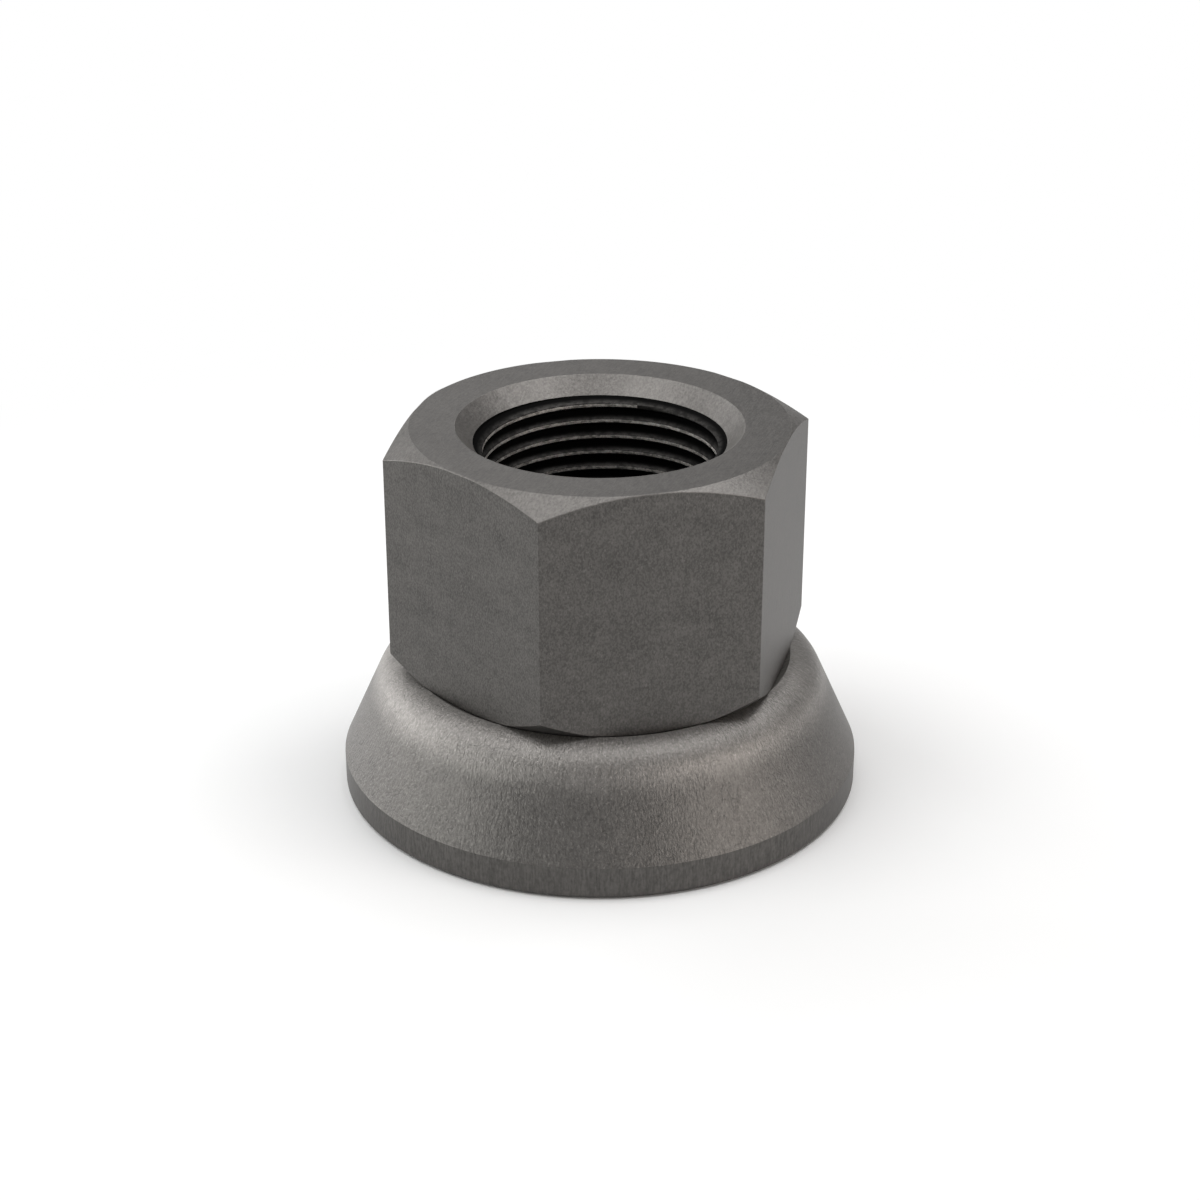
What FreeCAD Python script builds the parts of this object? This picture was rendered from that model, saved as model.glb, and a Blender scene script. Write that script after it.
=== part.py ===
import FreeCAD, Part
import math
import os

# A wheel nut in two pieces, in millimetres. A hexagon nut sits in the dished top of
# a tall conical pressure washer. Its thin collar passes down through the washer and
# is swaged outwards underneath, so the washer stays on the nut but spins freely.
# The origin is the centre of the washer's bearing face, where the wheel is clamped,
# and +Z runs up the thread axis. The hexagon has two corners on the X axis.

# Hexagon
across_flats = 33.0
hex_height = 21.3            # from the rim of the nut's seat up to the top face
top_chamfer_angle = 30.0     # slope from the horizontal
lower_chamfer_angle = 43.0   # slope from the horizontal

# Thread: its core is bored here, and the fine turns are left off
thread_diameter = 22.0
thread_pitch = 1.5
mouth_width = 1.5            # how far the countersink is wider than the thread
mouth_angle = 45.0           # slope of the countersink
thread_exit_angle = 45.0     # slope of the lead-out at the lower end of the thread

# Conical seat between the nut and the washer
seat_mouth_diameter = 34.1   # where the washer's seat meets its rounded shoulder
seat_rim_diameter = 34.6     # where the nut's seat meets its lower chamfer
seat_angle = 30.0            # slope from the horizontal
seat_clearance = 0.06        # square to the seat

# Washer
washer_diameter = 46.3
washer_height = 12.11        # to the top of the rounded shoulder
band_height = 2.95           # upright band round the foot
foot_chamfer = 0.3
shoulder_radius = 3.63
shoulder_diameter = 33.36    # circle of the shoulder's highest point

# Collar that is swaged under the washer
collar_gap = 0.6             # from the thread's outer radius to the collar's bore
collar_wall = 1.6
collar_clearance = 0.15      # radial, inside the washer's bore
neck_chamfer = 0.5           # fills the corner between the nut's seat and its collar
skirt_height = 2.0           # straight thin stretch above the swaged lip
flare_angle = 45.0           # turn of the lip away from the axis
flare_reach = 1.7            # how far the lip stands out from the collar
flare_clearance = 0.15       # square to the lip, under the washer's recess
bend_radius = 2.1            # inside the collar, where it turns out into the lip
lip_chamfer = 0.35
lip_lift = 1.2               # from the wheel up to the lip's lower corner, before its chamfer

# Recess under the washer
recess_gap = 0.6             # radial, round the swaged lip
recess_chamfer = 0.4
edge_relief = 0.25           # extra chamfer on an edge that faces a filled corner

blank_margin = 1.0           # turned blank beyond the hexagon's corners
tolerance = 1e-6
ROUND = "round"
FLAT = "flat"


def slope(angle):
    """Rise over run of a line that leans by an angle from the horizontal."""
    return math.tan(math.radians(angle))


def iso_core_diameter(diameter, pitch):
    """Inner diameter of a metric nut thread: its profile is 5/8 of a 60 degree triangle deep."""
    triangle_height = pitch * math.sqrt(3) / 2
    return diameter - 2 * triangle_height * 5 / 8


def turned(corners):
    """Solid of revolution about Z from corners (radius, height) or (radius, height, style, size).

    A ROUND corner becomes the arc of radius size that touches both its sides. A FLAT corner is
    cut off by a line that starts and ends at the distance size from it.
    """
    points = [FreeCAD.Vector(corner[0], 0, corner[1]) for corner in corners]
    edges = []
    stops = []
    for index, point in enumerate(points):
        if len(corners[index]) == 2:
            stops.append((point, point))
            continue
        style, size = corners[index][2:]
        back = (points[index - 1] - point).normalize()
        ahead = (points[(index + 1) % len(points)] - point).normalize()
        half_angle = back.getAngle(ahead) / 2
        setback = size / math.tan(half_angle) if style == ROUND else size
        start = point + back * setback
        end = point + ahead * setback
        if style == ROUND:
            bisector = (back + ahead).normalize()
            middle = point + bisector * (size / math.sin(half_angle) - size)
            edges.append(Part.Arc(start, middle, end).toShape())
        else:
            edges.append(Part.makeLine(start, end))
        stops.append((start, end))
    for index, stop in enumerate(stops):
        leave = stops[index - 1][1]
        arrive = stop[0]
        if (arrive - leave).Length > tolerance:
            edges.append(Part.makeLine(leave, arrive))
    face = Part.Face(Part.Wire(Part.__sortEdges__(edges)))
    axis_point = FreeCAD.Vector(0, 0, 0)
    axis = FreeCAD.Vector(0, 0, 1)
    return face.revolve(axis_point, axis, 360)


def hexagon_prism(width, height):
    """Upright hexagon bar from the bearing face up, with two corners on the X axis."""
    corner_radius = width / math.sqrt(3)
    corners = []
    for step in range(7):
        angle = math.radians(60 * step)
        corners.append(FreeCAD.Vector(corner_radius * math.cos(angle), corner_radius * math.sin(angle), 0))
    face = Part.Face(Part.makePolygon(corners))
    return face.extrude(FreeCAD.Vector(0, 0, height))


# The washer's shoulder is an arc that touches the cone and is cut off by the seat
washer_radius = washer_diameter / 2
shoulder_centre_radius = shoulder_diameter / 2
shoulder_centre_height = washer_height - shoulder_radius
foot_out = washer_radius - shoulder_centre_radius
foot_down = band_height - shoulder_centre_height
foot_distance = math.hypot(foot_out, foot_down)
cone_touch_angle = math.atan2(foot_down, foot_out) + math.acos(shoulder_radius / foot_distance)

seat_mouth_radius = seat_mouth_diameter / 2
seat_mouth_offset = seat_mouth_radius - shoulder_centre_radius
seat_mouth_angle = math.acos(seat_mouth_offset / shoulder_radius)
seat_mouth_height = shoulder_centre_height + shoulder_radius * math.sin(seat_mouth_angle)

shoulder_half_turn = (seat_mouth_angle - cone_touch_angle) / 2
shoulder_corner_reach = shoulder_radius / math.cos(shoulder_half_turn)
shoulder_corner_angle = (seat_mouth_angle + cone_touch_angle) / 2
shoulder_corner_radius = shoulder_centre_radius + shoulder_corner_reach * math.cos(shoulder_corner_angle)
shoulder_corner_height = shoulder_centre_height + shoulder_corner_reach * math.sin(shoulder_corner_angle)


def washer_seat_height(radius):
    """Height of the washer's conical seat at a radius."""
    return seat_mouth_height - (seat_mouth_radius - radius) * slope(seat_angle)


def nut_seat_height(radius):
    """Height of the nut's seat, which runs beside the washer's with the seat clearance."""
    return washer_seat_height(radius) + seat_clearance / math.cos(math.radians(seat_angle))


# The swaged lip has the wall of the collar, turned out by the flare angle
flare = math.radians(flare_angle)
collar_bore_radius = thread_diameter / 2 + collar_gap
collar_radius = collar_bore_radius + collar_wall
lip_radius = collar_radius + flare_reach
lip_outer_height = lip_lift + collar_wall * math.sin(flare)
bend_height = lip_outer_height + flare_reach / math.tan(flare)
inner_bend_height = bend_height - collar_wall * math.tan(flare / 2)
lip_inner_radius = lip_radius - collar_wall * math.cos(flare)
thread_end_height = inner_bend_height + skirt_height

washer_bore_radius = collar_radius + collar_clearance
recess_radius = lip_radius + recess_gap


def recess_roof_height(radius):
    """Height of the recess's conical roof, which runs beside the lip with the flare clearance."""
    lip_height = bend_height - (radius - collar_radius) / math.tan(flare)
    return lip_height + flare_clearance / math.sin(flare)


def make_pressure_washer():
    """Conical washer with a dished seat on top and a recess for the swaged lip below."""
    return turned([
        (washer_radius, 0, FLAT, foot_chamfer),
        (washer_radius, band_height),
        (shoulder_corner_radius, shoulder_corner_height, ROUND, shoulder_radius),
        (seat_mouth_radius, seat_mouth_height),
        (washer_bore_radius, washer_seat_height(washer_bore_radius), FLAT, neck_chamfer + edge_relief),
        (washer_bore_radius, recess_roof_height(washer_bore_radius), FLAT, edge_relief),
        (recess_radius, recess_roof_height(recess_radius)),
        (recess_radius, recess_chamfer),
        (recess_radius + recess_chamfer, 0),
    ])


def make_hex_nut():
    """Hexagon nut: a turned blank with seat, collar and bore, with its six flats cut."""
    core_radius = iso_core_diameter(thread_diameter, thread_pitch) / 2
    mouth_radius = thread_diameter / 2 + mouth_width
    blank_radius = across_flats / math.sqrt(3) + blank_margin
    seat_rim_radius = seat_rim_diameter / 2
    seat_rim_height = nut_seat_height(seat_rim_radius)
    top = seat_rim_height + hex_height
    top_chamfer_drop = (blank_radius - across_flats / 2) * slope(top_chamfer_angle)
    lower_chamfer_rise = (blank_radius - seat_rim_radius) * slope(lower_chamfer_angle)
    mouth_drop = (mouth_radius - core_radius) * slope(mouth_angle)
    thread_exit_rise = (collar_bore_radius - core_radius) * slope(thread_exit_angle)
    blank = turned([
        (mouth_radius, top),
        (across_flats / 2, top),
        (blank_radius, top - top_chamfer_drop),
        (blank_radius, seat_rim_height + lower_chamfer_rise),
        (seat_rim_radius, seat_rim_height),
        (collar_radius, nut_seat_height(collar_radius), FLAT, neck_chamfer),
        (collar_radius, bend_height),
        (lip_radius, lip_outer_height, FLAT, lip_chamfer),
        (lip_inner_radius, lip_lift, FLAT, lip_chamfer),
        (collar_bore_radius, inner_bend_height, ROUND, bend_radius),
        (collar_bore_radius, thread_end_height),
        (core_radius, thread_end_height + thread_exit_rise),
        (core_radius, top - mouth_drop),
    ])
    print("height over all", round(top, 3), "core radius", round(core_radius, 3))
    print("core from", round(thread_end_height + thread_exit_rise, 3), "to", round(top - mouth_drop, 3))
    return blank.common(hexagon_prism(across_flats, top)).removeSplitter()


os.makedirs("parts", exist_ok=True)
pieces = {"hex_nut": make_hex_nut(), "pressure_washer": make_pressure_washer()}
for name, piece in pieces.items():
    solid = piece.Solids[0]
    solid.exportStep(os.path.join("parts", name + ".step"))
    print(name, "solids", len(piece.Solids), "valid", solid.isValid(), "volume mm3", round(solid.Volume, 1))
print("cone angle from the axis", round(math.degrees(cone_touch_angle), 2), "recess radius", round(recess_radius, 3))
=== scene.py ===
# %% [markdown]
# # A wheel nut with its captive pressure washer
#
# The real thing is a wheel nut of a heavy vehicle, in two pieces of plain dark steel. The
# hexagon nut has a thin collar under its seat. The collar passes down through a tall
# conical washer and is swaged outwards below it, so the washer stays on but spins freely.
#
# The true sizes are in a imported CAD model, and this script dresses it. The CAD meshes
# could be shaded as they are, but they are facets made for measuring. So each piece gets
# a new, finer skin in the same place, and the CAD nodes stay as they are, out of sight.

# %% Load the frame
import math

import bmesh
import bpy
import numpy as np
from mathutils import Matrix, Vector


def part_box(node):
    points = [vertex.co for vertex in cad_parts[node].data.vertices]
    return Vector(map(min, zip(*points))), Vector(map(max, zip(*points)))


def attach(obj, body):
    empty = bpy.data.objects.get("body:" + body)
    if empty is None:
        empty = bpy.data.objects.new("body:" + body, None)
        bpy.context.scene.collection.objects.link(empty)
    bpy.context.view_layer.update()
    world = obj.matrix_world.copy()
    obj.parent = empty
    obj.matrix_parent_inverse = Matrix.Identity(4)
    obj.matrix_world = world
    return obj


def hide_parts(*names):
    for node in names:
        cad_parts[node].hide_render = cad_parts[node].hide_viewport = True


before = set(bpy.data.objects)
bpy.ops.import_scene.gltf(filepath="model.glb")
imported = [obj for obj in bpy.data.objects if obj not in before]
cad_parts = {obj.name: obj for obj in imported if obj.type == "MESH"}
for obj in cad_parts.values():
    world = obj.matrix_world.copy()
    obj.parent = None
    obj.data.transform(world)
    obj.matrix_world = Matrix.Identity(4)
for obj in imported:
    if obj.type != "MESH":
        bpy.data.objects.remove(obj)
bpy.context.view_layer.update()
MM = 0.001

# %% [markdown]
# ## Outlines with eased corners
#
# Both pieces start on a lathe, so most of their form is an outline turned about the
# thread axis. No real corner is perfectly sharp: a tumbled edge has a tiny rounding that
# catches the light. A Bevel modifier could add it, but where four surfaces meet at
# small angles it makes poor faces. Here the rounding is part of the outline instead.

# %% Round the corners of an outline
def eased(corners, steps):
    """Points of a closed outline of (radius, height, rounding) corners.

    At each corner an arc of that rounding touches both sides. Its centre is on the line
    that halves the corner, at the rounding over the sine of half the corner's angle. Its
    points turn evenly from the end of one side to the start of the next.
    """
    table = np.array(corners, float)
    point = table[:, :2]
    rounding = table[:, 2:]
    back = np.roll(point, 1, axis=0) - point
    back /= np.linalg.norm(back, axis=1, keepdims=True)
    ahead = np.roll(point, -1, axis=0) - point
    ahead /= np.linalg.norm(ahead, axis=1, keepdims=True)
    half = np.arccos(np.clip((back * ahead).sum(axis=1, keepdims=True), -1, 1)) / 2
    middle = (back + ahead) / np.linalg.norm(back + ahead, axis=1, keepdims=True)
    centre = point + middle * rounding / np.sin(half)
    start = point + back * rounding / np.tan(half) - centre
    end = point + ahead * rounding / np.tan(half) - centre
    turn = (math.pi - 2 * half)[:, :, None]
    share = np.linspace(0, 1, steps + 1)[None, :, None]
    arc = np.sin((1 - share) * turn) * start[:, None] + np.sin(share * turn) * end[:, None]
    return (centre[:, None] + arc / np.sin(turn)).reshape(-1, 2)

# %% [markdown]
# ## One skin from a grid
#
# A turned piece with a hole is a ring, so its whole surface is one grid: rows run round
# the outline and columns round the axis. Each cell becomes a face, and both ends join up.
# A thread climbs by one turn when its row comes round, so there the last column joins
# the first one some rows further on. Rows that meet in one line are merged afterwards.

# %% A closed grid of faces
def ring_skin(name, radius, height, angles, seam_rows, marks):
    """Closed mesh from a grid of radii and heights, in rows round the outline.

    Row i of column j stands at its radius, at angle j about Z, and at its height. The
    last column joins the first at the rows that seam_rows names. Marks holds, under its
    name, a grid of numbers for the faces that lie between a row and the next.
    """
    spots = np.stack([radius * np.cos(angles), radius * np.sin(angles), height], axis=-1)
    rows, columns = radius.shape
    here = np.arange(rows * columns).reshape(rows, columns)
    across = np.roll(here, -1, axis=1)
    across[:, -1] = here[seam_rows, 0]
    next_here = np.roll(here, -1, axis=0)
    next_across = np.roll(across, -1, axis=0)
    faces = np.stack([here, across, next_across, next_here], axis=-1).reshape(-1, 4)
    mesh = bpy.data.meshes.new(name)
    mesh.from_pydata(spots.reshape(-1, 3), [], faces)
    for label, values in marks.items():
        layer = mesh.attributes.new(label, "FLOAT", "FACE")
        layer.data.foreach_set("value", np.asarray(values, np.float32).ravel())
    return close_up(mesh)

# %% Merge, check and shade
MERGE_DISTANCE = 1e-7
CREASE_ANGLE = math.radians(35)


def close_up(mesh):
    """Merges rows that lie on one line, checks that the skin is closed, and shades it smooth."""
    work = bmesh.new()
    work.from_mesh(mesh)
    bmesh.ops.remove_doubles(work, verts=work.verts, dist=MERGE_DISTANCE)
    open_edges = sum(1 for edge in work.edges if not edge.is_manifold)
    volume = work.calc_volume(signed=True) / MM ** 3
    triangles = sum(len(face.verts) - 2 for face in work.faces)
    print(mesh.name, "triangles", triangles, "open edges", open_edges, "volume mm3", round(volume, 1))
    work.to_mesh(mesh)
    work.free()
    mesh.shade_smooth()
    mesh.set_sharp_from_angle(angle=CREASE_ANGLE)
    return mesh

# %% [markdown]
# ## Taking a CAD node's place
#
# On the real nut the washer stays on the wheel while the hexagon turns. So each skin is
# parented to an Empty named for its piece's body, and rides on that body. The Weighted
# Normal modifier lets the large faces keep their own direction, and the narrow faces of a
# rounded edge carry the bend of the light.

# %% Stand in for a CAD node
def add_piece(mesh, node, body):
    """Puts a finished mesh in the scene in place of a CAD node, on that node's body."""
    piece = bpy.data.objects.new(mesh.name, mesh)
    bpy.context.scene.collection.objects.link(piece)
    weighting = piece.modifiers.new("face weighted shading", "WEIGHTED_NORMAL")
    weighting.keep_sharp = True
    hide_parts(node)
    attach(piece, body)

# %% [markdown]
# ## The pressure washer
#
# It is forged and then turned: a low upright band, a long cone, a rounded shoulder, and
# a dished seat on top that the nut's own seat turns against. The underside has
# a recess, so that the swaged lip of the nut stays clear of the wheel. A cone with a
# Bevel would lose the shoulder's large radius, so the outline is written corner by corner.

# %% Sizes of the washer
washer_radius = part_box("pressure_washer")[1].x
band_height = 2.95 * MM
foot_rounding = 0.5 * MM
band_rounding = 0.06 * MM
shoulder_radius = 3.63 * MM
shoulder_circle_radius = 16.68 * MM
shoulder_centre_height = 8.48 * MM
seat_mouth_radius = 17.05 * MM
seat_mouth_rounding = 0.12 * MM
seat_slope = math.tan(math.radians(30))
washer_bore_radius = 13.35 * MM
bore_top_rounding = 1.2 * MM
bore_end_rounding = 0.5 * MM
recess_radius = 15.5 * MM
recess_rounding = 0.3 * MM
recess_chamfer = 0.4 * MM
recess_edge_rounding = 0.1 * MM


def shoulder_corner():
    """Corner that the shoulder's arc rounds off.

    The cone touches the arc, so from the arc's centre its touching point lies at the
    direction of the foot plus the angle whose cosine is the arc's radius over the foot's
    distance. The tangents at both ends of the arc cross halfway between them, at the
    radius over the cosine of half the turn.
    """
    out = washer_radius - shoulder_circle_radius
    down = band_height - shoulder_centre_height
    cone_end = math.atan2(down, out) + math.acos(shoulder_radius / math.hypot(out, down))
    seat_end = math.acos((seat_mouth_radius - shoulder_circle_radius) / shoulder_radius)
    reach = shoulder_radius / math.cos((seat_end - cone_end) / 2)
    middle = (seat_end + cone_end) / 2
    mouth_height = shoulder_centre_height + shoulder_radius * math.sin(seat_end)
    corner = (shoulder_circle_radius + reach * math.cos(middle),
              shoulder_centre_height + reach * math.sin(middle))
    return corner, mouth_height


shoulder, seat_mouth_height = shoulder_corner()
print("seat mouth in mm:", round(seat_mouth_radius / MM, 3), "by", round(seat_mouth_height / MM, 3))

# %% [markdown]
# ### The collar inside it
#
# The recess under the washer follows the nut's swaged lip, so the lip's sizes come first.
# The lip has the wall of the collar, bent outwards by the flare. Its height could be
# typed in as one more number, but worked out from the bend it stays true to the collar.

# %% Sizes of the swaged collar
collar_bore_radius = 11.6 * MM
collar_radius = 13.2 * MM
collar_wall = collar_radius - collar_bore_radius
lip_radius = 14.9 * MM
lip_lift = 1.2 * MM
flare = math.radians(45)
lip_outer_height = lip_lift + collar_wall * math.sin(flare)
bend_height = lip_outer_height + (lip_radius - collar_radius) / math.tan(flare)
lip_inner_radius = lip_radius - collar_wall * math.cos(flare)
inner_bend_height = bend_height - collar_wall * math.tan(flare / 2)
skirt_height = 2.0 * MM
lip_clearance = 0.15 * MM


def recess_roof(radius):
    """Height of the recess's roof: beside the flared lip, at its clearance square to it."""
    lip = bend_height - (radius - collar_radius) / math.tan(flare)
    return lip + lip_clearance / math.sin(flare)


print("lip from", round(lip_lift / MM, 3), "up to the bend at", round(bend_height / MM, 3), "mm")

# %% Turn the washer
WASHER_COLUMNS = 288
WASHER_STEPS = 8
seat_foot_height = seat_mouth_height - (seat_mouth_radius - washer_bore_radius) * seat_slope
washer_outline = eased([
    (washer_radius, 0, foot_rounding),
    (washer_radius, band_height, band_rounding),
    (*shoulder, shoulder_radius),
    (seat_mouth_radius, seat_mouth_height, seat_mouth_rounding),
    (washer_bore_radius, seat_foot_height, bore_top_rounding),
    (washer_bore_radius, recess_roof(washer_bore_radius), bore_end_rounding),
    (recess_radius, recess_roof(recess_radius), recess_rounding),
    (recess_radius, recess_chamfer, recess_edge_rounding),
    (recess_radius + recess_chamfer, 0, recess_edge_rounding),
], WASHER_STEPS)
washer_mesh = ring_skin(
    "washer_skin",
    np.repeat(washer_outline[:, :1], WASHER_COLUMNS, axis=1),
    np.repeat(washer_outline[:, 1:], WASHER_COLUMNS, axis=1),
    np.linspace(0, math.tau, WASHER_COLUMNS, endpoint=False),
    np.arange(len(washer_outline)),
    {},
)
add_piece(washer_mesh, "pressure_washer", "washer")

# %% [markdown]
# ## The hexagon
#
# On the real nut a turned blank is cut by six flats. Where a flat meets the turned
# chamfers it leaves the curved edges that every nut has. A Boolean of a prism and
# a turned blank gives them too, but with ragged faces along the curves. Here each
# column of the grid is one section through the axis: a top face, a chamfer, the flat
# at its own distance for that angle, a lower chamfer and the seat. So the curves fall
# on grid lines by themselves, and a column through the middle of a flat has no chamfer.

# %% Angles of the columns, close together at the six corners
nut_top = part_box("hex_nut")[1].z
half_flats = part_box("hex_nut")[1].y
SIDE = math.radians(60)
HALF_SIDE = SIDE / 2
corner_rounding = 0.12 * MM
corner_centre = (half_flats - corner_rounding) / math.cos(HALF_SIDE)
CORNER_STEPS = 6
FLAT_STEPS = 30


def corner_offset(lean):
    """Angle at the axis, from a corner's ray, of the point of its rounding that faces lean."""
    return np.arctan2(corner_rounding * np.sin(lean), corner_centre + corner_rounding * np.cos(lean))


def hexagon_angles():
    """Angles of all columns: six corners with short steps, and long steps over the flats."""
    corner = corner_offset(np.linspace(-HALF_SIDE, HALF_SIDE, CORNER_STEPS + 1))
    between = np.linspace(corner[-1], SIDE + corner[0], FLAT_STEPS + 1)[1:-1]
    sector = np.concatenate([corner, between])
    return (sector[None, :] + SIDE * np.arange(6)[:, None]).ravel()


def hexagon_radius(angles):
    """Distance from the axis to the hexagon at some angles, with its corners on the X axis.

    On a flat it is half the width over the cosine of the angle from the flat's middle.
    In a corner it is the far crossing of the ray with the rounding's circle.
    """
    lean = np.abs((angles + HALF_SIDE) % SIDE - HALF_SIDE)
    on_flat = half_flats / np.cos(HALF_SIDE - lean)
    side = np.minimum(corner_centre * np.sin(lean), corner_rounding)
    in_corner = corner_centre * np.cos(lean) + np.sqrt(corner_rounding ** 2 - side ** 2)
    return np.where(lean < corner_offset(HALF_SIDE), in_corner, on_flat)


nut_angles = hexagon_angles()
nut_reach = hexagon_radius(nut_angles)
print("columns", len(nut_angles), "flats at", round(nut_reach.min() / MM, 3), "mm")
print("corners at", round(nut_reach.max() / MM, 3), "mm")

# %% Section through the hexagon for every column
hex_height = 21.3 * MM
seat_rim_radius = 17.3 * MM
seat_rim_height = nut_top - hex_height
mouth_radius = 12.5 * MM
edge_rounding = 0.1 * MM
EDGE_STEPS = 4
# What the section's lines face: seat, lower chamfer, flat, upper chamfer, top, countersink
FACINGS = np.radians([-60, -47, 0, 60, 90, 135])


def crossing(angle_a, reach_a, angle_b, reach_b):
    """Where two lines of an outline cross.

    A line is given by the direction that it faces, as an angle above the horizontal, and
    by how far it lies from the origin in that direction. Two such equations are solved by
    Cramer's rule, so reaches may be whole arrays.
    """
    spread = np.sin(angle_b - angle_a)
    radius = (reach_a * np.sin(angle_b) - reach_b * np.sin(angle_a)) / spread
    height = (reach_b * np.cos(angle_a) - reach_a * np.cos(angle_b)) / spread
    return np.stack(np.broadcast_arrays(radius, height), axis=-1)


def reach_of(facing, radius, height):
    """How far the line that passes through a point lies from the origin, the way it faces."""
    return radius * math.cos(facing) + height * math.sin(facing)


def outside_rows():
    """Rows from the nut's seat up over the flat and the top face to the countersink's rim.

    Every line of the section is moved in by the rounding, the moved lines are crossed,
    and round each crossing an arc turns from the direction of one line to the next. Where
    a chamfer has no length left, its two crossings are put where its neighbours cross.
    """
    seat, lower, flat, upper, face, sink = FACINGS
    seat_line = reach_of(seat, seat_rim_radius, seat_rim_height) - edge_rounding
    lower_line = reach_of(lower, seat_rim_radius, seat_rim_height) - edge_rounding
    flat_line = nut_reach - edge_rounding
    upper_line = reach_of(upper, half_flats, nut_top) - edge_rounding
    face_line = nut_top - edge_rounding
    sink_line = reach_of(sink, mouth_radius, nut_top) - edge_rounding
    rim = crossing(seat, seat_line, lower, lower_line)
    low = crossing(lower, lower_line, flat, flat_line)
    high = crossing(flat, flat_line, upper, upper_line)
    crown = crossing(upper, upper_line, face, face_line)
    no_lower = (low[:, :1] < rim[0])
    no_upper = (high[:, :1] < crown[0])
    seat_meets_flat = crossing(seat, seat_line, flat, flat_line)
    face_meets_flat = crossing(flat, flat_line, face, face_line)
    corners = [
        (np.where(no_lower, seat_meets_flat, rim), seat, lower),
        (np.where(no_lower, seat_meets_flat, low), lower, flat),
        (np.where(no_upper, face_meets_flat, high), flat, upper),
        (np.where(no_upper, face_meets_flat, crown), upper, face),
        (np.broadcast_to(crossing(face, face_line, sink, sink_line), low.shape), face, sink),
    ]
    bands = []
    for centre, first, last in corners:
        facing = np.linspace(first, last, EDGE_STEPS + 1)[:, None]
        ring = np.stack(np.broadcast_arrays(np.cos(facing), np.sin(facing)), axis=-1) * edge_rounding
        bands.append(centre[None] + ring)
    return np.concatenate(bands)


outside = outside_rows()
print("rows over the outside", len(outside))

# %% [markdown]
# ## The thread
#
# The bore has a fine metric thread: a 60 degree groove that climbs 1.5 mm a turn and
# leaves a flat crest a quarter of the pitch wide. In the photo its lines fall to the left
# at the back of the bore, so it is a left-hand thread. A Screw modifier can sweep such
# a groove, but it would not join the rest of the skin. Here one pitch of the profile is
# repeated down the bore, and each column lowers it by its share of a turn. Past the ends
# the rows are held at the end planes, so all turns stay in one closed grid.

# %% Sizes of the thread
thread_radius = 11.0 * MM
thread_pitch = 1.5 * MM
thread_depth = thread_pitch * math.sqrt(3) / 2 * 5 / 8
thread_top = nut_top - (mouth_radius - thread_radius)
thread_bottom = inner_bend_height + skirt_height + (collar_bore_radius - thread_radius)
crest_width = thread_pitch / 4
root_width = thread_pitch / 8
flank_width = (thread_pitch - crest_width - root_width) / 2
flank_rise = thread_depth / flank_width
crest_rounding = 0.1 * MM
root_rounding = 0.1 * MM
first_turn_angle = math.radians(70)
THREAD_STEPS = 3
print("thread from", round(thread_bottom / MM, 3), "to", round(thread_top / MM, 3), "mm high")

# %% Rows of the thread
def thread_profile():
    """Points of one pitch as distance down the bore and height above the root.

    The first and the last two corners only close the outline, so their points are dropped.
    """
    crest_start = flank_width
    crest_end = crest_start + crest_width
    corners = eased([
        (-root_width, 0, 0),
        (0, 0, root_rounding),
        (crest_start, thread_depth, crest_rounding),
        (crest_end, thread_depth, crest_rounding),
        (crest_end + flank_width, 0, root_rounding),
        (thread_pitch, 0, 0),
        (0, -thread_depth, 0),
    ], THREAD_STEPS)
    return corners.reshape(-1, THREAD_STEPS + 1, 2)[1:-2].reshape(-1, 2)


def thread_rows():
    """Rows down the bore, and how many of them make a turn.

    Each point of the profile, lowered by whole pitches, falls by one pitch a turn. Near
    both end planes its height above the root is held to the slope of a flank, so the
    first and last turn grow out of the wall.
    """
    profile = thread_profile()
    turns = math.ceil((thread_top - thread_bottom) / thread_pitch) + 2
    down = (profile[:, 0] + thread_pitch * np.arange(turns)[:, None]).ravel()
    rise = np.tile(profile[:, 1], turns)[:, None]
    climb = thread_pitch * (1 - (nut_angles - first_turn_angle) / math.tau)
    height = np.clip(thread_top - down[:, None] + climb, thread_bottom, thread_top)
    inside = np.minimum(thread_top - height, height - thread_bottom)
    held = np.minimum(rise, inside * flank_rise)
    return np.stack([thread_radius - held, height], axis=-1), len(profile)


thread, rows_per_turn = thread_rows()
print("thread rows", len(thread), "rows a turn", rows_per_turn, "depth", round(thread_depth / MM, 3), "mm")

# %% [markdown]
# ## The swaged collar
#
# Below its seat the nut is a thin tube. It is pushed through the washer and its end is
# rolled outwards by a punch, which leaves a lip at 45 degrees with a round bend inside.
# The lip is a form that could be bent from a straight tube with a modifier. Its final
# outline is known, though, so it is written down in the same way as the washer's.

# %% Rows of the collar, from the thread's lower end round the lip to the seat
seat_inner_radius = 16.0 * MM
thread_end_rounding = 0.2 * MM
bend_radius = 2.1 * MM
lip_inner_rounding = 0.45 * MM
lip_outer_rounding = 0.4 * MM
lip_back_rounding = 0.5 * MM
neck_rounding = 0.85 * MM


def nut_seat(radius):
    """Height of the nut's conical seat at a radius."""
    return seat_rim_height - (seat_rim_radius - radius) * seat_slope


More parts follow.
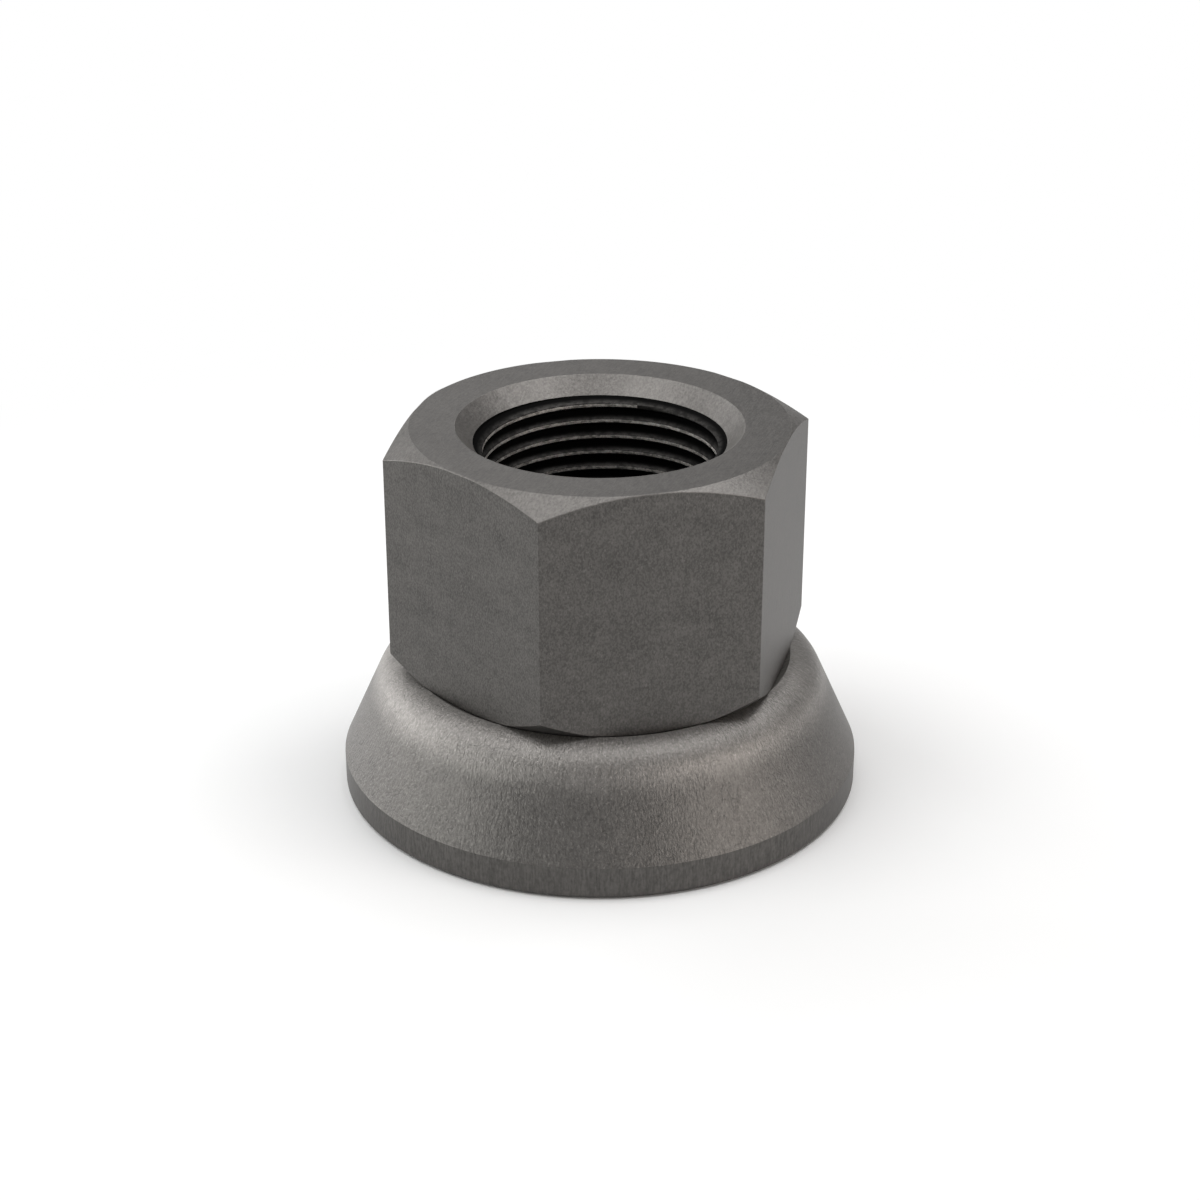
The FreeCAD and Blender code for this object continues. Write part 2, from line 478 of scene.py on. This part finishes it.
COLLAR_STEPS = 6
collar_outline = eased([
    (thread_radius, thread_bottom, 0),
    (collar_bore_radius, thread_bottom - (collar_bore_radius - thread_radius), thread_end_rounding),
    (collar_bore_radius, inner_bend_height, bend_radius),
    (lip_inner_radius, lip_lift, lip_inner_rounding),
    (lip_radius, lip_outer_height, lip_outer_rounding),
    (collar_radius, bend_height, lip_back_rounding),
    (collar_radius, nut_seat(collar_radius), neck_rounding),
    (seat_inner_radius, nut_seat(seat_inner_radius), 0),
], COLLAR_STEPS)
print("collar from", round(lip_lift / MM, 3), "to", round(nut_seat(collar_radius) / MM, 3), "mm high")

# %% [markdown]
# ## All rows of the nut in one grid
#
# The nut is one piece of steel, so its rows are stacked in one order: outside, countersink
# rim, thread, collar and back to the seat. Separate meshes for the thread and the body
# would be easier, but they would leave open edges where they meet. Down the thread, the
# last column joins the first one a whole turn further on.

# %% Stack the rows
def all_round(outline):
    """The same rows in every column."""
    return np.repeat(np.reshape(outline, (-1, 1, 2)), len(nut_angles), axis=1)


thread_rim = all_round((thread_radius, thread_top))
grid = np.concatenate([outside, thread_rim, thread, all_round(collar_outline)])
thread_start = len(outside) + 1
thread_end = thread_start + len(thread)
seam_rows = np.arange(len(grid))
turn_on = seam_rows[thread_start:thread_end] + rows_per_turn
seam_rows[thread_start:thread_end] = np.minimum(turn_on, thread_end - 1)
print("grid of", grid.shape[0], "rows and", grid.shape[1], "columns, thread from row", thread_start)

# %% [markdown]
# ## Numbers for the material
#
# On the real nut every kind of face was made by another tool, so its grey here is partly
# that own tone and partly painted light: a grey for each kind of face fitted to how the
# light falls on it, and a painted shade on the lower chamfer. Each kind could be a material
# of its own, but then the grain would stop at every edge. Here each face of the mesh
# carries numbers instead: its shade, and whether it is a wrench flat, in the thread, or on
# a crest. The material reads them as attributes.

# %% Mark the faces
# Shades of the faces, partly their own tone and partly painted light: the chamfers and countersink are
# painted lighter and the flats darker, for how the light falls on them.
FLAT_SHADE = 0.67
END_SHADE = 0.83
BEVEL_SHADE = 1.14
SINK_PAINTED_LIGHT = 1.28
LOWER_PAINTED_SHADE = 0.45
CREST_SHARE = 0.995
lower_row = EDGE_STEPS
flat_row = lower_row + EDGE_STEPS + 1
top_row = flat_row + 2 * (EDGE_STEPS + 1)

face_tone_and_painted_light = np.full(grid.shape[:2], END_SHADE)
# Painted shade: the lower chamfer is darkened where it lies in shade between the nut and the washer.
face_tone_and_painted_light[lower_row] = LOWER_PAINTED_SHADE
face_tone_and_painted_light[flat_row] = FLAT_SHADE
face_tone_and_painted_light[flat_row + 1:top_row] = BEVEL_SHADE
# Painted light: the countersink is made lighter than the top face, for the light it catches.
face_tone_and_painted_light[top_row + 1:thread_start - 1] = SINK_PAINTED_LIGHT
on_flat = np.zeros(grid.shape[:2])
on_flat[flat_row] = 1
in_thread = np.zeros(grid.shape[:2])
in_thread[thread_start - 1:thread_end] = 1
at_crest = grid[..., 0] < thread_radius - CREST_SHARE * thread_depth
on_crest = at_crest & np.roll(at_crest, -1, axis=0)
print("faces on crests:", on_crest.sum())

# %% Make the nut
nut_marks = {
    "wrench_flat": on_flat,
    "face_tone_and_painted_light": face_tone_and_painted_light,
    "thread_cut": in_thread,
    "thread_crest": on_crest,
}
nut_mesh = ring_skin("nut_skin", grid[..., 0], grid[..., 1], nut_angles, seam_rows, nut_marks)
add_piece(nut_mesh, "hex_nut", "nut")

# %% [markdown]
# ## Shader maths
#
# A material is a tree of nodes. Wiring each Math node by hand hides the formula, so one
# small class wraps an output, and sums and products of such outputs add their own nodes.
# Every other node comes from one method, which takes its type, settings and sockets.

# %% Write node trees as expressions
class Wire:
    """One output of a shader node, which can be used in a formula."""

    def __init__(self, tree, socket):
        self.tree = tree
        self.socket = socket

    def node(self, kind, settings, sockets, output=0):
        """Adds a node to this wire's tree: first its settings, then values or wires for sockets."""
        made = self.tree.nodes.new(kind)
        for name, value in settings.items():
            setattr(made, name, value)
        for key, value in sockets.items():
            if isinstance(value, Wire):
                self.tree.links.new(value.socket, made.inputs[key])
            else:
                made.inputs[key].default_value = value
        return Wire(self.tree, made.outputs[output])

    def maths(self, operation, *values):
        """Adds a Math node of that operation to numbers or wires."""
        return self.node("ShaderNodeMath", {"operation": operation}, dict(enumerate(values)))

    def __add__(self, other):
        return self.maths("ADD", self, other)

    __radd__ = __add__

    def __sub__(self, other):
        return self.maths("SUBTRACT", self, other)

    def __rsub__(self, other):
        return self.maths("SUBTRACT", other, self)

    def __mul__(self, other):
        return self.maths("MULTIPLY", self, other)

    __rmul__ = __mul__

    def __abs__(self):
        return self.maths("ABSOLUTE", self)

# %% [markdown]
# ## Patterns of worked steel
#
# Grain, brushing and blotches are all noise, and only its stretch differs. Noise that is
# squeezed across one direction gives the fine parallel marks of a tool or of rolling.
# A hairline is the thin level line of a soft noise: it wanders and ends like a scratch.

# %% Coordinates of the patterns
def stretched(place, scale):
    """Coordinates multiplied by their own number along each axis, here in marks a metre."""
    return place.node("ShaderNodeVectorMath", {"operation": "MULTIPLY"}, {0: place, 1: scale})


def turned_about_z(place, degrees):
    """Coordinates turned about the Z axis."""
    sockets = {"Vector": place, "Rotation": (0, 0, math.radians(degrees))}
    return place.node("ShaderNodeMapping", {}, sockets)


def flattened(place):
    """The part of the coordinates that is square to the Z axis."""
    return stretched(place, (1, 1, 0))


def length(place):
    """Distance of the coordinates from the origin."""
    return place.node("ShaderNodeVectorMath", {"operation": "LENGTH"}, {0: place}, "Value")

# %% Noise and steps
def noise(place, scale, detail=2.0, roughness=0.5):
    """Cloudy noise between 0 and 1, mostly near a half. Its blobs are about 1 / scale wide."""
    spots = place if scale == 1 else stretched(place, (scale, scale, scale))
    sockets = {"Vector": spots, "Scale": 1.0, "Detail": detail, "Roughness": roughness}
    return place.node("ShaderNodeTexNoise", {}, sockets)


def step_up(value, low, high):
    """0 below low, 1 above high, and a smooth rise between them."""
    settings = {"interpolation_type": "SMOOTHSTEP"}
    return value.node("ShaderNodeMapRange", settings, {0: value, 1: low, 2: high})


def streaks(place, scale, detail=1.0):
    """Noise with its own scale along each axis."""
    return noise(stretched(place, scale), 1, detail)


def crisp(place, scale, detail=1.0):
    """Such noise pushed apart, so that its grains stand out light and dark."""
    return step_up(streaks(place, scale, detail), 0.36, 0.64)

# %% [markdown]
# ### Scratches and creases
#
# Handling leaves hairline scratches, and rolled or forged skin has a net of fine creases.
# Both could be drawn one by one as curves, which takes hours and repeats on no other
# part. Here a scratch is where a noise passes through a half, and a crease is the border
# between the cells of a Voronoi pattern. A second, wider noise leaves only patches of them.

# %% Lines
SCRATCH_PATCHES = 170
SCRATCH_EDGE = 0.62
SCRATCH_FADE = 0.04
CREASE_BENDS = 600.0
CREASE_SHIFT = 1.6 * MM
CREASE_PATCHES = 420


def hairlines(place, scale, width, share):
    """Thin broken lines: where noise is within width of a half, and a second noise is high."""
    near = 1 - step_up(abs(streaks(place, scale) - 0.5), 0.0, width)
    edge = SCRATCH_EDGE - share
    return near * step_up(noise(place, SCRATCH_PATCHES, detail=1.0), edge, edge + SCRATCH_FADE)


def creases(place, scale, width):
    """Fine crossing lines, as in leather: the borders of cells whose places a noise shifts."""
    bends = {"Vector": place, "Scale": CREASE_BENDS, "Detail": 2.0}
    shift = place.node("ShaderNodeTexNoise", {}, bends, "Color")
    shift = place.node("ShaderNodeVectorMath", {"operation": "SCALE"}, {0: shift, "Scale": CREASE_SHIFT})
    shifted = place.node("ShaderNodeVectorMath", {"operation": "ADD"}, {0: place, 1: shift})
    sockets = {"Vector": stretched(shifted, scale), "Scale": 1.0}
    border = place.node("ShaderNodeTexVoronoi", {"feature": "DISTANCE_TO_EDGE"}, sockets)
    patches = step_up(noise(place, CREASE_PATCHES, detail=1.0), 0.42, 0.60)
    return (1 - step_up(border, 0.0, width)) * patches

# %% Parts of a material
def shaded(colour, share):
    """A colour made darker or brighter by a wire."""
    return share.node("ShaderNodeVectorMath", {"operation": "SCALE"}, {0: colour, "Scale": share})


def steel(name, metal_share):
    """A new material: its shader node, and the object's own coordinates to start patterns from."""
    material = bpy.data.materials.new(name)
    material.use_nodes = True
    shader = material.node_tree.nodes["Principled BSDF"]
    shader.inputs["Metallic"].default_value = metal_share
    tex_coord = material.node_tree.nodes.new("ShaderNodeTexCoord")
    return material, shader, Wire(material.node_tree, tex_coord.outputs["Object"])


def feed(shader, socket, wire):
    """Joins a wire to a socket of the shader."""
    wire.tree.links.new(wire.socket, shader.inputs[socket])


def relief(height):
    """Normal of a surface whose relief is given in millimetres."""
    return height.node("ShaderNodeBump", {}, {"Strength": 1.0, "Distance": MM, "Height": height})


def mark(place, name):
    """A number that the mesh keeps for each face."""
    return place.node("ShaderNodeAttribute", {"attribute_name": name}, {}, output=2)

# %% [markdown]
# ## Finish of the nut
#
# The nut is dark satin steel, and the deep shade of its thread is painted black. Its flats
# are drawn bar, with fine grain, soft clouds and a few creases. The turned ends have
# slanting tool marks, and they are painted lighter for how the light falls on them. One
# grey with a roughness would do from afar, but close up it looks like plastic. So one
# material holds all zones of the piece, and grains of several sizes vary its colour, its
# roughness and its relief.

# %% Start the nut's material
STEEL = (0.147, 0.140, 0.133)
METAL_SHARE = 0.8
nut_steel, nut_shader, place = steel("dark_nut_steel", METAL_SHARE)
flat = mark(place, "wrench_flat")
thread_cut = mark(place, "thread_cut")
crest = mark(place, "thread_crest")
print("nut material:", nut_steel.name, "in colour", STEEL)

# %% [markdown]
# ### Its patterns
#
# Scales are in marks a metre, so 7600 is a grain of about 0.13 mm. A pattern with a much
# smaller number for Z runs up and down, as the marks of drawing do on a flat. The tool
# marks of the turned ends are slanted by turning the coordinates first.

# %% Grain and marks of the nut
DRAWN_SCALE = (2600, 2600, 70)
TOOL_ANGLE = 35
grain = crisp(place, (7600, 7600, 4800))
glints = step_up(streaks(place, (5600, 5600, 4200)), 0.60, 0.74)
mottle = noise(place, 1300, detail=3.0, roughness=0.7)
level_clouds = noise(stretched(place, (190, 190, 480)), 1, detail=3.0, roughness=0.65)
drawn_marks = step_up(streaks(place, DRAWN_SCALE), 0.60, 0.78)
scratches = hairlines(place, (420, 420, 90), 0.006, 0.06)
flat_creases = creases(place, (900, 900, 420), 0.07)
slanted = turned_about_z(place, TOOL_ANGLE)
brushing = crisp(slanted, (6200, 700, 4200))
cuts = hairlines(slanted, (900, 130, 500), 0.007, 0.16)
coarse_grain = crisp(place, (4600, 4600, 4600), detail=2.0)

# %% [markdown]
# ### Its colour and roughness
#
# The tone is a sum of the patterns, each less its middle and times its strength, so it
# swings about zero and the steel keeps its mean colour. A ramp for each pattern could
# do the same, with many more nodes. The tone goes into the roughness too, because the
# lighter grains of such a steel are rougher ones, which scatter more light.

# %% Tone of the nut
ROUGHNESS_SWING = 0.12
flat_tone = 0.36 * (grain - 0.5) + 0.32 * glints + 0.34 * (mottle - 0.5)
flat_tone = flat_tone + 0.55 * (level_clouds - 0.5) - 0.10 * drawn_marks
flat_tone = flat_tone - 0.20 * scratches - 0.11 * flat_creases
end_tone = 0.16 * (brushing - 0.5) + 0.22 * (coarse_grain - 0.5) + 0.35 * (mottle - 0.5)
end_tone = end_tone + 0.30 * (level_clouds - 0.5) + 0.16 * cuts
tone = flat * flat_tone + (1 - flat) * end_tone

# Painted highlight: the crests of the thread get a colour many times lighter, for the light that catches
# their edges.
CREST_GLEAM = 6.5
body_tone_and_painted_light = mark(place, "face_tone_and_painted_light") * (1 + tone) * (1 + CREST_GLEAM * crest)
feed(nut_shader, "Base Color", shaded(STEEL, body_tone_and_painted_light))
feed(nut_shader, "Roughness", 0.48 + ROUGHNESS_SWING * tone)

# %% [markdown]
# ### Its relief
#
# The marks are about a hundredth of a millimetre deep. Displacing the mesh by so little
# would need millions of faces, so a Bump node tilts the shading instead. The weights
# below are the depths of the patterns in millimetres.

# %% Relief of the nut
flat_height = 0.006 * grain + 0.012 * mottle - 0.012 * scratches - 0.006 * flat_creases
end_height = 0.006 * coarse_grain + 0.004 * brushing + 0.008 * cuts
feed(nut_shader, "Normal", relief(flat * flat_height + (1 - flat) * end_height))

# %% [markdown]
# ### Painted shade and highlights in the thread
#
# The grooves of the thread get a painted shade: the dark deep in the bore is painted as
# a matt black. Steel in a darker grey would still glare at a low angle, so a matt black is
# mixed over it. On the crests it gives way to a painted highlight in a broken line, and a
# little on the flanks beside them. How near a point is to a crest is measured from the axis.

# %% Blacken the thread
BLACK = (0.006, 0.006, 0.006, 1.0)
FLANK_SHARE = 0.35
broken = 0.5 + 0.5 * step_up(streaks(place, (1500, 1500, 4000), detail=2.0), 0.40, 0.54)
reach = length(flattened(place))
near_crest = step_up(thread_radius - reach, 0.3 * thread_depth, thread_depth)
# Painted highlight on the crests and the flanks beside them, and painted shade in matt black elsewhere in
# the thread.
painted_crest_light = broken * (crest + FLANK_SHARE * (1 - crest) * near_crest)
painted_bore_shade = place.node("ShaderNodeBsdfDiffuse", {}, {"Color": BLACK})
bare_steel = Wire(place.tree, nut_shader.outputs[0])
painted_shade_share = thread_cut * (1 - painted_crest_light)
surface = place.node("ShaderNodeMixShader", {}, {0: painted_shade_share, 1: bare_steel, 2: painted_bore_shade})
place.tree.links.new(surface.socket, place.tree.nodes["Material Output"].inputs["Surface"])
nut_mesh.materials.append(nut_steel)
print("nodes in the nut's material:", len(place.tree.nodes))

# %% [markdown]
# ## Finish of the washer
#
# The washer is forged, and its skin is a fine leathery crackle with marks that run down
# the cone. Noise on plain coordinates could not follow a cone. So the marks are laid on
# the direction from the axis, which turns with the surface and has no seam, and on the
# height less the radius, which falls steadily down the cone and over the shoulder.

# %% Coordinates round the washer
washer_steel, washer_shader, place = steel("dark_washer_steel", METAL_SHARE)
MEAN_RADIUS = 20 * MM
height = place.node("ShaderNodeSeparateXYZ", {}, {0: place}, output=2)
outward = flattened(place)
reach = length(outward)
direction = outward.node("ShaderNodeVectorMath", {"operation": "NORMALIZE"}, {0: outward})
on_circle = stretched(direction, (MEAN_RADIUS, MEAN_RADIUS, 0))
down = place.node("ShaderNodeCombineXYZ", {}, {2: height - reach})
around = place.node("ShaderNodeVectorMath", {"operation": "ADD"}, {0: on_circle, 1: down})

# %% Grain and marks of the washer
crackle = noise(stretched(around, (4600, 4600, 2000)), 1, detail=3.0, roughness=0.65)
down_marks = crisp(around, (6500, 6500, 900))
grain = crisp(around, (5600, 5600, 3200))
glints = step_up(streaks(around, (5600, 5600, 2600)), 0.58, 0.72)
mottle = noise(place, 1000, detail=3.0, roughness=0.7)
soft_clouds = noise(place, 230, detail=2.0)
scratches = hairlines(around, (500, 500, 120), 0.007, 0.10)
cross_scratches = hairlines(turned_about_z(place, 50), (160, 700, 420), 0.006, 0.06)
cone_creases = creases(around, (1100, 1100, 480), 0.07)

# %% [markdown]
# ### Zones of the washer
#
# The shoulder is painted as the lightest part, a painted highlight where the light falls
# on it, and the upright foot band is painted darkest, a painted shade. Face numbers as on
# the nut would give hard borders. The border of the band is hard, but the shoulder fades
# into the cone, so both are found from the height.

# %% Tone of the washer
# Painted light: the shoulder is painted lighter and the foot band darker than the cone.
BAND_PAINTED_SHADE = 0.68
CONE_SHADE = 1.05
SHOULDER_PAINTED_LIGHT = 1.78
band = 1 - step_up(height, band_height, band_height + 0.02 * MM)
rounded = step_up(height, shoulder_centre_height - 0.5 * MM, shoulder_centre_height + 1.8 * MM)
above_band = CONE_SHADE + (SHOULDER_PAINTED_LIGHT - CONE_SHADE) * rounded
painted_zone_light = BAND_PAINTED_SHADE * band + (1 - band) * above_band

cone_tone = 0.60 * (crackle - 0.5) + 0.12 * (down_marks - 0.5) + 0.20 * (grain - 0.5)
cone_tone = cone_tone + 0.34 * glints + 0.30 * (mottle - 0.5) + 0.30 * (soft_clouds - 0.5)
cone_tone = cone_tone - 0.20 * scratches - 0.16 * cross_scratches - 0.14 * cone_creases
band_tone = 0.26 * (down_marks - 0.5) + 0.50 * (crackle - 0.5)
band_tone = band_tone + 0.16 * (grain - 0.5) + 0.45 * (mottle - 0.5)
tone = band * band_tone + (1 - band) * cone_tone
feed(washer_shader, "Base Color", shaded(STEEL, painted_zone_light * (1 + tone)))
feed(washer_shader, "Roughness", 0.46 + ROUGHNESS_SWING * tone)

# %% [markdown]
# ### Relief of the washer
#
# Forging leaves a rougher skin than drawing, so the crackle is the deepest pattern here.
# It is a true form of the real skin, but far finer than the edges of the mesh, so it is
# left to a Bump node as well.

# %% Relief of the washer
cone_height = 0.075 * crackle + 0.004 * down_marks + 0.005 * grain
cone_height = cone_height - 0.014 * scratches - 0.012 * cross_scratches - 0.010 * cone_creases
band_relief = 0.006 * down_marks + 0.020 * crackle
feed(washer_shader, "Normal", relief(band * band_relief + (1 - band) * cone_height))
washer_mesh.materials.append(washer_steel)
print("nodes in the washer's material:", len(place.tree.nodes))

# %% [markdown]
# ## The floor
#
# A product photo is often taken on a white table. The lamps light a white floor to about
# 1 beside the nut, but further off they fade and it would turn grey. A wider set of lamps
# could fix that, and would change the light on the steel. Here the floor becomes plain
# white further off, only for rays that look at it, straight or in a reflection. Near the
# nut it stays ordinary paint, so it keeps the shadow.

# %% Floor plane
FLOOR_HALF = 3.0
FLOOR_HEIGHT = -0.02 * MM
floor_mesh = bpy.data.meshes.new("floor")
floor_corners = [(-FLOOR_HALF, -FLOOR_HALF, FLOOR_HEIGHT), (FLOOR_HALF, -FLOOR_HALF, FLOOR_HEIGHT),
                 (FLOOR_HALF, FLOOR_HALF, FLOOR_HEIGHT), (-FLOOR_HALF, FLOOR_HALF, FLOOR_HEIGHT)]
floor_mesh.from_pydata(floor_corners, [], [(0, 1, 2, 3)])
floor = bpy.data.objects.new("floor", floor_mesh)
bpy.context.scene.collection.objects.link(floor)
print("floor from", -FLOOR_HALF, "to", FLOOR_HALF, "m")

# %% Floor paint
floor_paint = bpy.data.materials.new("pale_floor")
floor_paint.use_nodes = True
floor_tree = floor_paint.node_tree
floor_shader = floor_tree.nodes["Principled BSDF"]
floor_shader.inputs["Base Color"].default_value = (0.93, 0.93, 0.93, 1.0)
floor_shader.inputs["Roughness"].default_value = 0.9
floor_shader.inputs["Specular IOR Level"].default_value = 0.0

# %% White further off, for rays that look at it
NEAR_EDGE = 0.03
FAR_EDGE = 0.12
floor_place = Wire(floor_tree, floor_tree.nodes.new("ShaderNodeTexCoord").outputs["Object"])
looked_at = floor_place.node("ShaderNodeLightPath", {}, {}, "Is Camera Ray")
looked_at = looked_at + floor_place.node("ShaderNodeLightPath", {}, {}, "Is Glossy Ray")
looked_at = looked_at + floor_place.node("ShaderNodeLightPath", {}, {}, "Is Transmission Ray")
far_off = looked_at * step_up(length(floor_place), NEAR_EDGE, FAR_EDGE)
white = floor_place.node("ShaderNodeEmission", {}, {"Color": (1.0, 1.0, 1.0, 1.0), "Strength": 1.0})
painted = Wire(floor_tree, floor_shader.outputs[0])
seen = floor_place.node("ShaderNodeMixShader", {}, {0: far_off, 1: painted, 2: white})
floor_tree.links.new(seen.socket, floor_tree.nodes["Material Output"].inputs["Surface"])
floor_mesh.materials.append(floor_paint)
print("floor turns white between", NEAR_EDGE, "and", FAR_EDGE, "m from the axis")

# %% [markdown]
# ## The lamps
#
# Dark metal shows little of its own colour: it shows what it faces. Each flat and each
# side of the cone has its own grey, so six large soft lamps stand round the nut. Two high
# ones light the floor and the chamfers, one behind lights the top, and three low ones
# light the upright sides, while a weak white world fills the rest. Their levels were
# fitted to the greys of the photo. An image of a studio as the world could do it in one
# step, but it couldn't be tuned side by side.

# %% World
WORLD_LEVEL = 0.2
world = bpy.data.worlds.new("studio")
bpy.context.scene.world = world
world.use_nodes = True
backdrop = world.node_tree.nodes["Background"]
backdrop.inputs["Color"].default_value = (1.0, 1.0, 1.0, 1.0)
backdrop.inputs["Strength"].default_value = WORLD_LEVEL
print("world level", WORLD_LEVEL)

# %% Lamps
LAMP_DISTANCE = 0.55
LAMP_SIZE = 0.36


def soft_box(name, azimuth, elevation, level, colour=(1.0, 1.0, 1.0)):
    """A square lamp that faces the nut. Level is the brightness of its surface."""
    lamp = bpy.data.lights.new(name, "AREA")
    lamp.shape = "SQUARE"
    lamp.size = LAMP_SIZE
    lamp.color = colour
    lamp.energy = level * math.pi * LAMP_SIZE ** 2
    holder = bpy.data.objects.new(name, lamp)
    holder.visible_camera = False
    bpy.context.scene.collection.objects.link(holder)
    a = math.radians(azimuth)
    e = math.radians(elevation)
    away = Vector((math.sin(a) * math.cos(e), -math.cos(a) * math.cos(e), math.sin(e)))
    holder.location = Vector((0, 0, nut_top / 2)) + away * LAMP_DISTANCE
    holder.rotation_mode = "QUATERNION"
    holder.rotation_quaternion = away.to_track_quat("Z", "Y")
    print("lamp", name, "of", round(lamp.energy, 3), "W")


soft_box("high_left", -90, 66, 2.95)
soft_box("high_right", 90, 66, 3.60)
soft_box("back", 180, 38, 1.20)
soft_box("low_back_left", -135, 10, 3.80)
soft_box("low_left", -90, 10, 2.40, (0.98, 1.0, 0.97))
soft_box("low_front_right", 45, 10, 2.60, (1.08, 1.0, 0.93))

# %% [markdown]
# ## The camera
#
# Its place and focal length were solved from the hexagon's corners, the circles of the
# bore and the rim of the washer in the photo, with the nut's true width as the scale. The
# focal length counts in pixels of a frame 1200 wide, and the lens is that share of the
# sensor. Two angles and a distance say it more clearly than three coordinates would.

# %% Lens
SENSOR_WIDTH = 36.0
FRAME_PIXELS = 1200
FOCAL_PIXELS = 2475.44
camera_data = bpy.data.cameras.new("camera")
camera_data.sensor_width = SENSOR_WIDTH
camera_data.lens = FOCAL_PIXELS / FRAME_PIXELS * SENSOR_WIDTH
camera_data.clip_start = 0.01
camera_data.clip_end = 20.0
print("lens in mm:", round(camera_data.lens, 2))

# %% Place of the camera
camera = bpy.data.objects.new("camera", camera_data)
bpy.context.scene.collection.objects.link(camera)
camera_azimuth = math.radians(-15.0)
camera_elevation = math.radians(25.02)
camera_distance = 220.32 * MM
camera_target = Vector((0, 0, 16.79 * MM))
toward_camera = Vector((
    math.sin(camera_azimuth) * math.cos(camera_elevation),
    -math.cos(camera_azimuth) * math.cos(camera_elevation),
    math.sin(camera_elevation),
))
camera.location = camera_target + toward_camera * camera_distance
camera.rotation_mode = "QUATERNION"
camera.rotation_quaternion = toward_camera.to_track_quat("Z", "Y")
bpy.context.scene.camera = camera
bpy.context.scene.view_settings.view_transform = "Standard"
